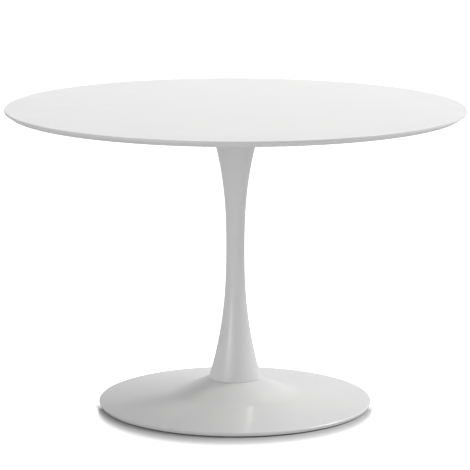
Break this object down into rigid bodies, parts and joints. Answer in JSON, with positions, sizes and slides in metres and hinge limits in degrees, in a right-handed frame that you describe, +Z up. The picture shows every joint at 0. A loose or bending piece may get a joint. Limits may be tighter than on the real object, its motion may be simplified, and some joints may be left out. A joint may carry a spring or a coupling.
{
  "type": "round pedestal table",
  "caption": "Round table with a thin undercut top on one trumpet-shaped column and a wide dished base with screw-adjusted glides.",
  "frame": {"origin": "on the floor under the middle of the table, with the glides screwed home", "axes": "+Z up along the column's axis; X and Y are horizontal, and the glides stand midway between them"},
  "size_m": [1.1, 1.1, 0.725],
  "materials": {
    "white_lacquer": "satin",
    "white_paint": "gloss",
    "zinc_steel": "satin",
    "plate_steel": "satin",
    "cast_iron": "matte",
    "black_nylon": "matte"
  },
  "bodies": {
    "table": {"table_top": "white_lacquer", "column_shell": "white_paint", "base_shell": "white_paint", "ballast": "cast_iron", "mounting_plate": "plate_steel", "column_head_ring": "plate_steel", "column_head_plate": "plate_steel", "column_foot_plate": "plate_steel", "spacer_tube": "plate_steel", "tie_rod": "zinc_steel", "upper_flat_washer": "zinc_steel", "upper_spring_washer": "zinc_steel", "upper_nut": "zinc_steel", "lower_flat_washer": "zinc_steel", "lower_spring_washer": "zinc_steel", "lower_nut": "zinc_steel", "top_screw_1": "zinc_steel", "top_screw_2": "zinc_steel", "top_screw_3": "zinc_steel", "top_screw_4": "zinc_steel", "top_screw_5": "zinc_steel", "top_screw_6": "zinc_steel", "top_screw_7": "zinc_steel", "top_screw_8": "zinc_steel", "plate_bolt_1": "zinc_steel", "plate_bolt_2": "zinc_steel", "plate_bolt_3": "zinc_steel", "plate_bolt_4": "zinc_steel"},
    "foot_1": {"glide_foot_1": "black_nylon"},
    "stud_1": {"glide_stud_1": "zinc_steel"},
    "foot_2": {"glide_foot_2": "black_nylon"},
    "stud_2": {"glide_stud_2": "zinc_steel"},
    "foot_3": {"glide_foot_3": "black_nylon"},
    "stud_3": {"glide_stud_3": "zinc_steel"},
    "foot_4": {"glide_foot_4": "black_nylon"},
    "stud_4": {"glide_stud_4": "zinc_steel"}
  },
  "joints": [
    {"name": "glide_1_height", "type": "slide", "parent": "table", "child": "foot_1", "axis": [0, 0, -1], "range_m": [0, 0.005]},
    {"name": "glide_1_screw", "type": "hinge", "parent": "foot_1", "child": "stud_1", "pos_m": [0.16617, 0.16617, 0.004], "axis": [0, 0, -1], "range_deg": [0, 1440]},
    {"name": "glide_2_height", "type": "slide", "parent": "table", "child": "foot_2", "axis": [0, 0, -1], "range_m": [0, 0.005]},
    {"name": "glide_2_screw", "type": "hinge", "parent": "foot_2", "child": "stud_2", "pos_m": [-0.16617, 0.16617, 0.004], "axis": [0, 0, -1], "range_deg": [0, 1440]},
    {"name": "glide_3_height", "type": "slide", "parent": "table", "child": "foot_3", "axis": [0, 0, -1], "range_m": [0, 0.005]},
    {"name": "glide_3_screw", "type": "hinge", "parent": "foot_3", "child": "stud_3", "pos_m": [-0.16617, -0.16617, 0.004], "axis": [0, 0, -1], "range_deg": [0, 1440]},
    {"name": "glide_4_height", "type": "slide", "parent": "table", "child": "foot_4", "axis": [0, 0, -1], "range_m": [0, 0.005]},
    {"name": "glide_4_screw", "type": "hinge", "parent": "foot_4", "child": "stud_4", "pos_m": [0.16617, -0.16617, 0.004], "axis": [0, 0, -1], "range_deg": [0, 1440]}
  ],
  "couplings": [
    {"joint": "glide_1_height", "follows": "glide_1_screw", "m_per_rad": 0.00019893},
    {"joint": "glide_2_height", "follows": "glide_2_screw", "m_per_rad": 0.00019893},
    {"joint": "glide_3_height", "follows": "glide_3_screw", "m_per_rad": 0.00019893},
    {"joint": "glide_4_height", "follows": "glide_4_screw", "m_per_rad": 0.00019893}
  ]
}
